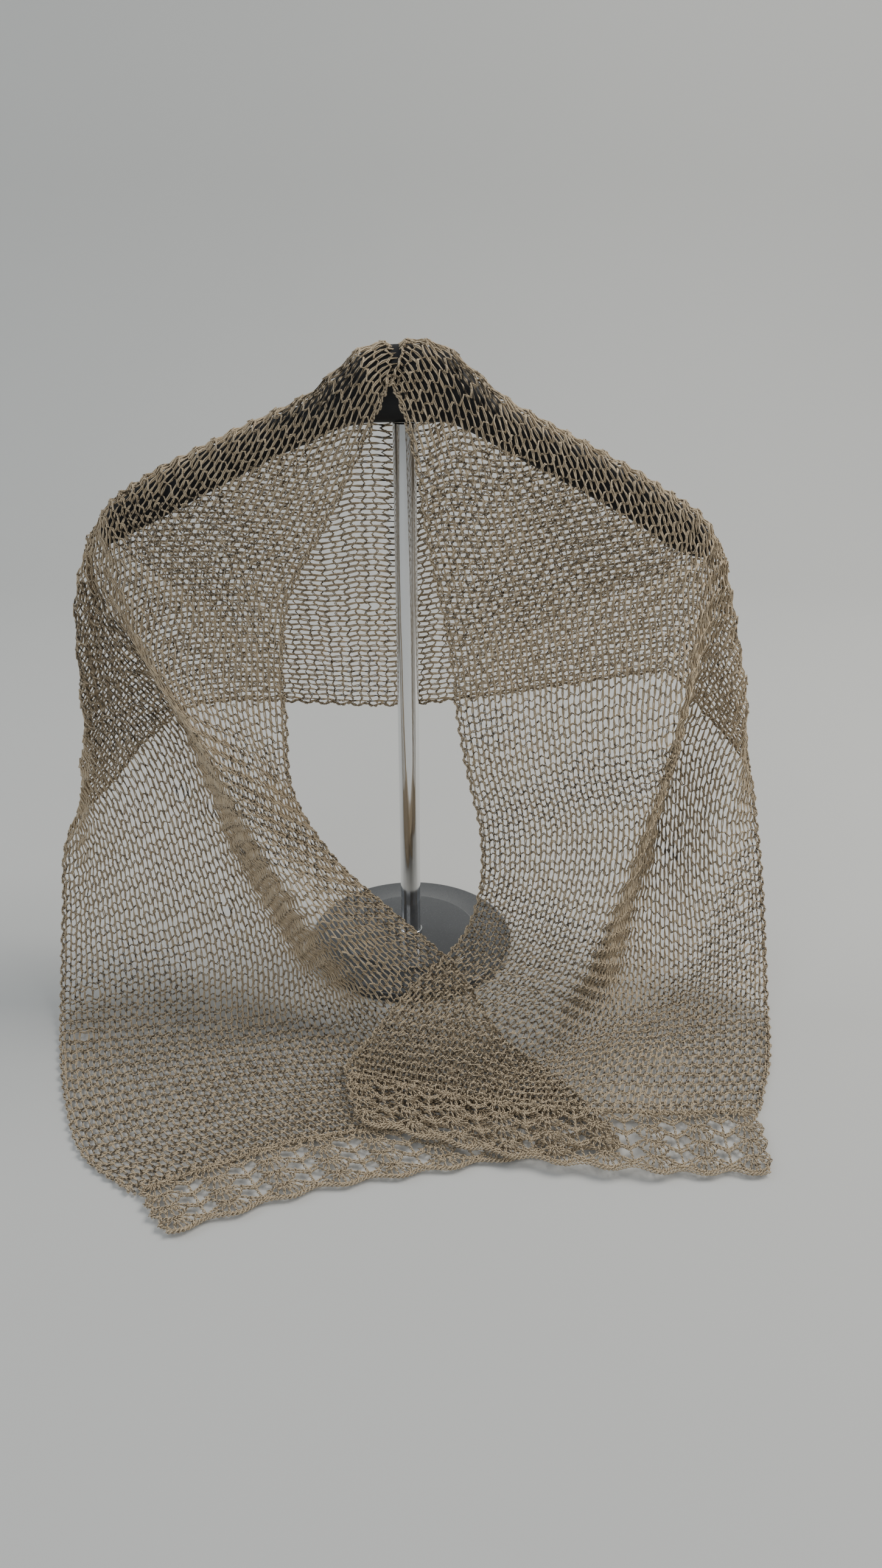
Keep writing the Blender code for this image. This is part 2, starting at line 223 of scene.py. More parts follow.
BarSection = namedtuple("BarSection", "along top bottom halfDepth")
shoulderBar = [
    BarSection(-214, 349, 344, 2.5),
    BarSection(-211, 354.5, 339, 7),
    BarSection(-206, 362.5, 339, 10),
    BarSection(-195, 371.5, 344, 11),
    BarSection(-169, 387, 357, 11),
    BarSection(-120, 410, 382, 11.5),
    BarSection(-92, 422.5, 396, 12),
    BarSection(-64, 435, 408, 12.5),
    BarSection(-42, 452, 417, 13.5),
    BarSection(-27, 465.5, 420.5, 14),
    BarSection(-14, 469.5, 421, 14),
    BarSection(0, 470.5, 421, 14),
    BarSection(16, 469, 421, 14),
    BarSection(30, 464.5, 420.5, 14),
    BarSection(46, 450, 414, 13.5),
    BarSection(67, 433, 403, 12.5),
    BarSection(92, 419.5, 390, 12),
    BarSection(125, 403, 373, 11.5),
    BarSection(161, 384, 353, 11),
    BarSection(195, 363, 332, 11),
    BarSection(206, 355, 329, 10),
    BarSection(213, 346, 330, 7),
    BarSection(216, 340, 335, 2.5),
]

# Shoulder rows go from the neck edge (inner) over the bar at x = crossing to the hem
ShoulderRow = namedtuple("ShoulderRow", "station inner crossing wrap hem")
shoulderRows = [
    ShoulderRow(-205, (-87, -43, 265), -214, 80, (-204, 8, 182)),
    ShoulderRow(-160, (-81, -38, 309), -186, 80, (-170, 16, 206)),
    ShoulderRow(-110, (-58, -33, 352), -140, 80, (-123, 18, 212)),
    ShoulderRow(-60, (-34, -29, 396), -84, 75, (-73, 18, 210)),
    ShoulderRow(-20, (-13, -23, 440), -26, 55, (-33, 18, 208)),
    ShoulderRow(0, (-8, -21, 449), 0, 48, (-13, 18, 208)),
    ShoulderRow(20, (-2, -23, 438), 22, 58, (7, 18, 209)),
    ShoulderRow(60, (9, -30, 398), 76, 75, (47, 18, 214)),
    ShoulderRow(110, (16, -34, 352), 128, 80, (97, 18, 221)),
    ShoulderRow(160, (25, -38, 308), 177, 80, (147, 18, 229)),
    ShoulderRow(205, (33, -42, 268), 213, 80, (192, 17, 236)),
]

# Front rows go over the ridge fold, back into the trough, out to the side and the hem
FrontRow = namedtuple("FrontRow", "station inner ridge trough side hem belly")
frontRows = [
    FrontRow(-703, (144, -241, 1.2), (88, -249, 1.2), (20, -262, 1.2), (-70, -284, 1.2), (-137, -312, 1.2), 0),
    FrontRow(-649, (124, -201, 1.2), (66, -207, 1.2), (10, -217, 1.2), (-90, -240, 1.2), (-168, -277, 1.2), 0),
    FrontRow(-600, (102, -168, 1.2), (48, -188, 1.2), (0, -192, 1.2), (-110, -214, 1.2), (-204, -248, 1.2), 0),
    FrontRow(-540, (72, -135, 4), (15, -158, 6), (-25, -160, 1.2), (-125, -172, 1.2), (-231, -197, 1.2), 0),
    FrontRow(-480, (33, -92, 42), (-15, -124, 36), (-55, -112, 8), (-135, -125, 3), (-252, -138, 1.2), 0),
    FrontRow(-420, (-10, -83, 82), (-62, -113, 100), (-105, -62, 45), (-180, -75, 22), (-265, -85, 16), 0),
    FrontRow(-360, (-53, -72, 122), (-103, -98, 160), (-145, -35, 120), (-215, -45, 85), (-268, -48, 62), 0),
    FrontRow(-300, (-83, -58, 170), (-133, -86, 214), (-172, -15, 205), (-238, -26, 165), (-264, -20, 115), 2),
    FrontRow(-240, (-86, -50, 228), (-180, -42, 274), (-211, -14, 303), (-234, -4, 314), (-226, 0, 156), 12),
    FrontRow(250, (37, -46, 227), (200, -42, 282), (221, -13, 294), (237, -2, 290), (225, 8, 207), 8),
    FrontRow(300, (45, -53, 182), (183, -72, 217), (214, -10, 215), (252, -16, 200), (259, -9, 168), 2),
    FrontRow(350, (55, -62, 137), (168, -88, 168), (203, -12, 150), (248, -38, 125), (267, -28, 124), 0),
    FrontRow(400, (54, -73, 94), (141, -108, 99), (185, -42, 72), (232, -58, 62), (272, -47, 80), 0),
    FrontRow(450, (39, -92, 64), (118, -126, 62), (165, -85, 22), (215, -80, 15), (274, -69, 36), 0),
    FrontRow(500, (5, -118, 42), (85, -145, 42), (130, -135, 8), (190, -118, 3), (271, -106, 1.2), 0),
    FrontRow(550, (-26, -148, 18), (45, -167, 24), (87, -174, 8), (165, -160, 4.6), (259, -156, 1.2), 0),
    FrontRow(600, (-43, -171, 7), (30, -195, 9), (90, -205, 5.5), (168, -209, 4.6), (242, -203, 1.2), 0),
    FrontRow(654, (-27, -224, 5), (40, -246, 5), (100, -260, 4.8), (172, -266, 4.4), (233, -264, 1.2), 0),
]

drape = {
    "wall": 2.4,                # mm, the solids' wall
    "barClearance": 1.8,
    "rowStep": 10,              # shoulder rows are filled in this close
    "behindDegrees": 42,
    "flankDegrees": 84,
    "rowLean": 7 / 80,
    "behindShare": 0.14,
    "flankShare": 0.3,
    "onTable": 2.6,             # the yarn's middle lies this high on the table
    "onCloth": 7.2,             # and this high where the right end lies over the left end
    "overlapEdge": (152, 178),  # x between which the right end comes down to the table
}
leftKnitEnd, rightKnitEnd = -649, 600


def splineThrough(knots, points, where):
    # a cubic through the points, each tangent taken from its two neighbours
    knots = np.asarray(knots, float)
    points = np.asarray(points, float)
    gaps = np.diff(knots)
    slopes = np.diff(points, axis=0) / gaps[:, None]
    tangents = np.empty_like(points)
    tangents[0], tangents[-1] = slopes[0], slopes[-1]
    share = (gaps[1:] / (gaps[:-1] + gaps[1:]))[:, None]
    tangents[1:-1] = slopes[:-1] * share + slopes[1:] * (1 - share)
    where = np.atleast_1d(np.asarray(where, float))
    span = np.clip(np.searchsorted(knots, where, side="right") - 1, 0, len(gaps) - 1)
    step = gaps[span][:, None]
    t = (where - knots[span])[:, None] / step
    return ((1 + 2 * t) * (1 - t) ** 2 * points[span] + t * (1 - t) ** 2 * step * tangents[span]
            + t * t * (3 - 2 * t) * points[span + 1] + t * t * (t - 1) * step * tangents[span + 1])


def barSectionAt(along):
    xs = [section.along for section in shoulderBar]
    return BarSection(along, *(float(np.interp(along, xs, [section[i] for section in shoulderBar]))
                               for i in (1, 2, 3)))


def barRingPoint(section, angle, grow=0.0):
    # a point on the bar's rounded cross-section, angle from its top towards the back
    middle = (section.top + section.bottom) / 2
    tall = (section.top - section.bottom) / 2 + grow
    deep = section.halfDepth + grow
    sine, cosine = math.sin(angle), math.cos(angle)
    return (section.along, math.copysign(deep * abs(sine) ** 0.8, sine),
            middle + math.copysign(tall * abs(cosine) ** 0.8, cosine))


def between(a, b, share):
    return tuple(p + (q - p) * share for p, q in zip(a, b))


def shoulderGuides(row):
    outward = np.sign(row.station)

    def onBar(degrees):
        x = row.crossing + outward * drape["rowLean"] * degrees
        slope = (barSectionAt(x + 4).top - barSectionAt(x - 4).top) / 8
        grow = (drape["wall"] / 2 + drape["barClearance"]) * math.hypot(1, slope)
        return barRingPoint(barSectionAt(x), math.radians(degrees), grow)

    ridge, trough, side = onBar(-row.wrap), onBar(-row.wrap / 2), onBar(0)
    behind, flank = onBar(drape["behindDegrees"]), onBar(drape["flankDegrees"])
    return [row.inner, between(row.inner, ridge, 0.5), ridge, trough, side,
            behind, flank, between(flank, row.hem, 0.5), row.hem]


def frontGuides(row):
    x, y, z = between(row.side, row.hem, drape["flankShare"])
    flank = (x, y + row.belly, z)
    x, y, z = between(row.side, row.hem, drape["behindShare"])
    behind = (x, y + row.belly * 0.7, z)
    return [row.inner, between(row.inner, row.ridge, 0.5), row.ridge, row.trough, row.side,
            behind, flank, between(flank, row.hem, 0.5), row.hem]


def allRows():
    stations = [row.station for row in shoulderRows]
    values = [[*row.inner, row.crossing, row.wrap, *row.hem] for row in shoulderRows]
    filled = np.arange(stations[0], stations[-1] + 1, drape["rowStep"])
    rows = [(row.station, frontGuides(row)) for row in frontRows]
    for station, v in zip(filled, splineThrough(stations, values, filled)):
        row = ShoulderRow(float(station), tuple(v[:3]), float(v[3]), float(v[4]), tuple(v[5:]))
        rows.append((row.station, shoulderGuides(row)))
    rows.sort(key=lambda row: row[0])
    return np.array([row[0] for row in rows], float), np.array([row[1] for row in rows], float)


# Creases and dimples of the cloth, each a soft ridge between two places on it.
# A place is (station along the stole in mm, share of its width from the neck edge).
Crease = namedtuple("Crease", "start end height halfWidth")
creases = [
    Crease((-150, 0.05), (-330, 0.10), 2.5, 9),
    Crease((-240, 0.55), (-420, 0.62), 3.0, 12),
    Crease((-200, 0.75), (-330, 0.88), 3.0, 10),
    Crease((-260, 0.92), (-400, 0.97), -2.5, 9),
    Crease((-420, 0.35), (-560, 0.50), 2.5, 14),
    Crease((-500, 0.70), (-620, 0.86), 2.0, 16),
    Crease((-560, 0.10), (-640, 0.22), 2.0, 12),
    Crease((140, 0.05), (320, 0.12), 2.5, 10),
    Crease((230, 0.50), (420, 0.66), 3.0, 12),
    Crease((220, 0.78), (350, 0.90), 2.5, 10),
    Crease((420, 0.30), (560, 0.44), 2.5, 13),
    Crease((470, 0.72), (590, 0.80), 2.0, 14),
    Crease((-40, 0.60), (-60, 0.95), 2.5, 12),
    Crease((10, 0.62), (20, 0.98), -2.0, 10),
    Crease((60, 0.58), (80, 0.97), 2.0, 12),
    Crease((-130, 0.55), (-140, 0.93), -2.5, 13),
    Crease((140, 0.56), (150, 0.95), 2.0, 12),
    Crease((-8, 0.02), (-4, 0.16), -4.0, 6),
    Crease((12, 0.02), (16, 0.14), 3.0, 6),
]


class Drape:
    # the middle surface of the cloth as a fine grid that any (station, share) can be read from
    def __init__(self):
        rowStations, rowGuides = allRows()
        self.width = 310.0
        self.stations = np.arange(rowStations[0], rowStations[-1] + 0.5, 2.0)
        self.shares = np.linspace(0, 1, 121)
        flat = rowGuides.reshape(len(rowStations), -1)
        guides = splineThrough(rowStations, flat, self.stations).reshape(len(self.stations), 9, 3)
        self.places = np.array([self.rowPoints(points) for points in guides])
        self.findNormals()
        self.addCreases()
        self.rest()
        self.findNormals()

    def rowPoints(self, guides):
        knots = np.concatenate([[0], np.cumsum(np.linalg.norm(np.diff(guides, axis=0), axis=1))])
        fine = splineThrough(knots, guides, np.interp(np.linspace(0, 8, 161), range(9), knots))
        lengths = np.concatenate([[0], np.cumsum(np.linalg.norm(np.diff(fine, axis=0), axis=1))])
        wanted = self.shares * lengths[-1]
        return np.stack([np.interp(wanted, lengths, fine[:, axis]) for axis in range(3)], axis=1)

    def findNormals(self):
        along = np.gradient(self.places, axis=0)
        across = np.gradient(self.places, axis=1)
        normals = np.cross(along, across)
        self.normals = normals / np.linalg.norm(normals, axis=2)[..., None]

    def addCreases(self):
        station, share = np.meshgrid(self.stations, self.shares, indexing="ij")
        lift = np.zeros_like(station)
        for crease in creases:
            ax, ay = crease.start[0], crease.start[1] * self.width
            bx, by = crease.end[0], crease.end[1] * self.width
            px, py = station - ax, share * self.width - ay
            length = math.hypot(bx - ax, by - ay)
            ux, uy = (bx - ax) / length, (by - ay) / length
            run = (px * ux + py * uy) / length
            off = (py * ux - px * uy) / crease.halfWidth
            fade = np.clip(1 - np.abs(run * 2 - 1) ** 3, 0, 1)
            lift += crease.height * fade * np.exp(-off * off)
        self.places = self.places + self.normals * lift[..., None]

    def rest(self):
        # the yarn lies on the table, and the right end on the left end
        low, high = drape["overlapEdge"]
        x = self.places[..., 0]
        over = np.clip((high - x) / (high - low), 0, 1)
        over = over * over * (3 - 2 * over) * (self.stations[:, None] > 440)
        least = drape["onTable"] + (drape["onCloth"] - drape["onTable"]) * over
        z = self.places[..., 2]
        soft = 1.0                      # mm over which the cloth rounds off as it meets the table
        self.places[..., 2] = least + soft * np.logaddexp(0, (z - least) / soft)

    def read(self, grid, station, share):
        i = np.clip((station - self.stations[0]) / 2.0, 0, len(self.stations) - 1.001)
        j = np.clip(share, 0, 1) * 120 * 0.99999
        i0, j0 = i.astype(int), j.astype(int)
        a, b = (i - i0)[..., None], (j - j0)[..., None]
        return ((grid[i0, j0] * (1 - b) + grid[i0, j0 + 1] * b) * (1 - a)
                + (grid[i0 + 1, j0] * (1 - b) + grid[i0 + 1, j0 + 1] * b) * a)

    def point(self, station, share, height):
        # (place, unit normal) of points this far above the middle surface, in mm
        normal = self.read(self.normals, station, share)
        normal = normal / np.linalg.norm(normal, axis=-1)[..., None]
        return self.read(self.places, station, share) + normal * height[..., None], normal


cloth = Drape()
print("drape worked out:", cloth.places.shape)

# Yarn: each yarn is two strands that lie side by side and turn slowly round each other

yarn = {
    "strandRadius": 0.54,       # mm
    "strandSpread": 1.05,       # mm between the two strands
    "turnLength": 27.0,         # mm of yarn in one turn of the pair
    "sides": 3,
    "sectionTwist": 0.5,        # radians for each mm
}


class YarnMesh:
    # collects tubes and makes one mesh of them
    def __init__(self):
        self.points, self.quads, self.triangles, self.along, self.count = [], [], [], [], 0

    def tube(self, path, up, radius, turn=0.0):
        # path and up are (n, 3) in mm; turn twists the section, in radians for each mm
        sides = yarn["sides"]
        n = len(path)
        forward = np.gradient(path, axis=0)
        forward /= np.linalg.norm(forward, axis=1)[:, None] + 1e-9
        side = np.cross(forward, up)
        side /= np.linalg.norm(side, axis=1)[:, None] + 1e-9
        above = np.cross(side, forward)
        steps = np.linalg.norm(np.diff(path, axis=0), axis=1)
        along = np.concatenate([[0], np.cumsum(steps)])
        angles = 2 * np.pi * np.arange(sides) / sides + (along * turn)[:, None]
        radius = np.broadcast_to(radius, (n,))[:, None, None]
        ring = (np.cos(angles)[..., None] * side[:, None] + np.sin(angles)[..., None] * above[:, None])
        ring = path[:, None] + ring * radius
        index = self.count + np.arange(n * sides).reshape(n, sides)
        after = np.roll(index, -1, axis=1)
        self.quads.append(np.stack([index[:-1], after[:-1], after[1:], index[1:]], axis=-1).reshape(-1, 4))
        self.triangles.append(np.array([index[0][::-1][:3], index[-1][:3]]))
        self.points.append(ring.reshape(-1, 3))
        self.along.append(np.repeat(along, sides))
        self.count += n * sides

    def pair(self, path, up, radius=None, spread=None, turnLength=None, phase=0.0):
        # two strands side by side, turning round each other
        radius = yarn["strandRadius"] if radius is None else radius
        spread = yarn["strandSpread"] if spread is None else spread
        turnLength = turnLength or yarn["turnLength"]
        forward = np.gradient(path, axis=0)
        forward /= np.linalg.norm(forward, axis=1)[:, None] + 1e-9
        side = np.cross(forward, up)
        side /= np.linalg.norm(side, axis=1)[:, None] + 1e-9
        above = np.cross(side, forward)
        steps = np.linalg.norm(np.diff(path, axis=0), axis=1)
        angle = phase + 2 * np.pi * np.concatenate([[0], np.cumsum(steps)]) / turnLength
        lean = (np.cos(angle)[:, None] * side + np.sin(angle)[:, None] * above) * spread / 2
        self.tube(path + lean, up, radius, yarn["sectionTwist"])
        self.tube(path - lean, up, radius, yarn["sectionTwist"])

    def make(self, name, material):
        points = np.concatenate(self.points) * mm
        quads, triangles = np.concatenate(self.quads), np.concatenate(self.triangles)
        mesh = bpy.data.meshes.new(name)
        mesh.vertices.add(len(points))
        mesh.vertices.foreach_set("co", points.astype(np.float32).ravel())
        corners = np.concatenate([quads.ravel(), triangles.ravel()])
        mesh.loops.add(len(corners))
        mesh.loops.foreach_set("vertex_index", corners.astype(np.int32))
        starts = np.concatenate([np.arange(len(quads)) * 4, len(quads) * 4 + np.arange(len(triangles)) * 3])
        mesh.polygons.add(len(starts))
        mesh.polygons.foreach_set("loop_start", starts.astype(np.int32))
        mesh.update(calc_edges=True)
        mesh.shade_smooth()
        attribute = mesh.attributes.new("along", "FLOAT", "POINT")
        attribute.data.foreach_set("value", np.concatenate(self.along).astype(np.float32))
        mesh.materials.append(material)
        made = bpy.data.objects.new(name, mesh)
        sceneCollection.objects.link(made)
        print("  ", name, 2 * len(quads) + len(triangles), "triangles")
        return made


# yarn tones, darker and lighter, and the ply stripes that are painted as shade and highlight into the yarn's
# colour
yarnTonesAndPlyShade = {
    "light": (0.62, 0.51, 0.355),
    "dark": (0.47, 0.365, 0.235),
    "plyLength": 1.5,           # mm between two plies along a strand
}


def yarnMaterial(name, light, dark):
    graph = Graph(name, Roughness=0.86, Sheen_Weight=0.15, Sheen_Roughness=0.5)
    graph.shader.inputs["Specular IOR Level"].default_value = 0.25
    along = graph.node("Attribute", {"attribute_name": "along"}, [], "Fac")
    # ply stripes along each strand: a bump, and also painted shade between the plies and painted highlight on
    # them in the colour
    ply = (along * (2 * math.pi / yarnTonesAndPlyShade["plyLength"])).math("SINE") * 0.5 + 0.5
    broad = graph.noise(14.0, 2.0)
    fine = graph.noise(900.0, 2.0)
    fibre = graph.noise(2600.0, 1.0)
    # the colour mixes the darker and lighter yarn tone at random by noise, plus the ply stripes as painted shade
    # and painted highlight
    share = (broad * 0.55 + fine * 0.45 + ply * 0.16 - 0.1).clamped()
    graph.feed("Base Color", graph.mixed(share, dark, light))
    graph.feed("Roughness", 0.78 + fine * 0.18)
    graph.bump(ply * 0.6 + fibre * 0.4, 0.6, 0.00022)
    return graph.material


knitYarn = yarnMaterial("knitting_yarn", yarnTonesAndPlyShade["light"], yarnTonesAndPlyShade["dark"])

# The knitting: garter stitch, every row leaning from one face of the cloth to the other

knitting = {
    "stitches": 38,
    "segments": 8,              # straight pieces of yarn in one stitch
    "rowPitch": [(-649, 5.1), (-480, 5.3), (-300, 6.0), (-100, 6.4),
                 (100, 6.4), (300, 6.0), (450, 5.3), (600, 5.1)],
    "overlap": 1.45,            # mm that a loop's head stands past the middle of its ridge
    "loopLean": 1.15,           # mm that a loop is wider at its head than at its foot
    "depth": 1.35,              # mm from the cloth's middle to a ridge
    "unevenAlong": 0.55,        # mm, one stitch against the next
    "unevenAcross": 0.5,
}
knitStretches = [  # node, first station, last station
    ("left_end", leftKnitEnd, -450),
    ("left_front", -450, -172),
    ("left_shoulder", -172, -75),
    ("back_of_neck", -75, 75),
    ("right_shoulder", 75, 190),
    ("right_front", 190, 430),
    ("right_end", 430, rightKnitEnd),
]


def rowStations():
    # the station of every knitted row, from the pitch table
    stations, at = [], leftKnitEnd + 1.5
    xs, pitches = zip(*knitting["rowPitch"])
    while at < rightKnitEnd - 1.5:
        stations.append(at)
        at += float(np.interp(at, xs, pitches))
    return np.array(stations)


def softNoise(shape, reach):
    # smooth random values on a grid of rows and stitches
    values = rng.normal(size=(shape[0] // reach + 3, shape[1] // reach + 3))
    i = np.linspace(0.5, values.shape[0] - 1.6, shape[0])
    j = np.linspace(0.5, values.shape[1] - 1.6, shape[1])
    i0, j0 = i.astype(int), j.astype(int)
    a, b = (i - i0)[:, None], (j - j0)[None]
    a, b = a * a * (3 - 2 * a), b * b * (3 - 2 * b)
    return ((values[i0][:, j0] * (1 - b) + values[i0][:, j0 + 1] * b) * (1 - a)
            + (values[i0 + 1][:, j0] * (1 - b) + values[i0 + 1][:, j0 + 1] * b) * a)


# Loose places where the holes are larger: (station, share, reach in mm, how far the yarn is pushed)
loosePlaces = [
    (-300, 0.46, 9, 1.6), (-345, 0.52, 10, 2.2), (-372, 0.44, 8, 1.4), (-268, 0.50, 8, 1.4),
    (-330, 0.60, 9, 1.5), (-395, 0.58, 9, 1.4), (-90, 0.30, 7, 1.2), (-140, 0.33, 8, 1.5),
    (-60, 0.36, 8, 1.4), (300, 0.50, 9, 1.5), (345, 0.56, 9, 1.6), (150, 0.32, 8, 1.4),
    (385, 0.47, 8, 1.4), (-430, 0.93, 10, 1.8), (-470, 0.95, 10, 1.8), (400, 0.94, 10, 1.8),
    (440, 0.95, 9, 1.6), (-15, 0.75, 9, 1.4), (45, 0.70, 9, 1.4), (-636, 0.42, 7, 2.0),
]


def knitPaths(stations):
    # every stitch of every row: (rows, points, 3) in mm with the normals, from edge to edge
    rows, stitches, segments = len(stations), knitting["stitches"], knitting["segments"]
    pitch = np.gradient(stations)
    t = np.arange(stitches * segments + 1) / segments
    turn = 2 * np.pi * t
    face = np.where(np.arange(rows) % 2 == 0, 1.0, -1.0)[:, None]
    reach = (pitch / 2 + knitting["overlap"])[:, None]
    uneven = [softNoise((rows, stitches + 1), 5) * 0.9 + rng.normal(size=(rows, stitches + 1)) * 0.45
              for _ in range(4)]
    spread = [np.array([np.interp(t, np.arange(stitches + 1), row) for row in values]) for values in uneven]
    along = stations[:, None] - reach * (1 + 0.10 * spread[2]) * np.cos(turn)
    along = along + knitting["unevenAlong"] * spread[0]
    stitch = cloth.width / stitches
    across = t * stitch + knitting["loopLean"] * np.sin(2 * turn) + knitting["unevenAcross"] * spread[1]
    height = -face * knitting["depth"] * np.cos(turn) * (1 + 0.15 * spread[3])
    for place, share, size, push in loosePlaces:
        dx, dy = along - place, across - share * cloth.width
        distance = np.hypot(dx, dy) + 1e-6
        strength = push * np.exp(-(distance / size) ** 2) * np.minimum(1, distance / 2)
        along, across = along + dx / distance * strength, across + dy / distance * strength
    along = np.clip(along, leftKnitEnd - 3, rightKnitEnd + 3)
    return cloth.point(along, across / cloth.width, height)


selvedge = {
    "radius": 0.72,
    "spread": 1.3,
    "outward": 0.4,             # mm past the last stitch
    "knotHeight": 0.7,
    "pointStep": 1.6,
    "sway": 0.9,                # mm in and out at every row
    "uneven": 0.15,
    "turnLength": 9.0,
}


def addSelvedge(mesh, first, last, share, sign, stations):
    # the cord along an edge, with a bump at each turn of the yarn
    at = np.arange(first, last + selvedge["pointStep"], selvedge["pointStep"])
    rows = np.interp(at, stations, np.arange(len(stations)))
    outward = selvedge["outward"] + selvedge["sway"] * np.cos(np.pi * rows)
    outward = outward + rng.normal(size=len(at)) * selvedge["uneven"]
    height = selvedge["knotHeight"] * np.sin(np.pi * rows)
    place, up = cloth.point(at, np.full(len(at), share), height)
    inward, _ = cloth.point(at, np.full(len(at), share + sign * 0.01), height)
    side = place - inward
    side /= np.linalg.norm(side, axis=1)[:, None]
    mesh.pair(place + side * outward[:, None], up, selvedge["radius"], selvedge["spread"],
              selvedge["turnLength"])


def dress(piece, slotName, *nodes):
    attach(piece, "root")
    if nodes:
        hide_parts(*nodes)
    return piece


def knitPieces():
    stations = rowStations()
    paths, normals = knitPaths(stations)
    for node, first, last in knitStretches:
        mesh = YarnMesh()
        for k in np.nonzero((stations >= first) & (stations < last))[0]:
            mesh.pair(paths[k], normals[k], phase=rng.uniform(0, 2 * math.pi))
        addSelvedge(mesh, first, last, 0.0, 1, stations)
        addSelvedge(mesh, first, last, 1.0, -1, stations)
        piece = dress(mesh.make("knit_" + node, knitYarn), "knitting", node)


knitPieces()
print("knitting made")

# The crocheted borders: columns of shells, twisted posts between them and double chain bars

crochet = {
    "shells": 9,
    "tiers": 4,
    "depth": 54.0,              # mm from the knitting to the scallops
    "width": 300.0,
    "shellShare": 0.56,         # of a repeat
    "trebles": 7,               # fanned out in each shell
    "fanDegrees": 66,
    "rimDepth": 2.6,
    "scallopRise": 4.0,
    "sideNotch": 6.0,
    "notchFade": 2.2,
    "strandRadius": 0.51,
    "thinRadius": 0.42,         # the small loops on the trebles and posts
    "uneven": 0.35,
    "stations": (-702.9, 653.9),    # the ends of the cloth, along the stole
}
crochetYarn = yarnMaterial("crochet_yarn", yarnTonesAndPlyShade["light"], yarnTonesAndPlyShade["dark"])


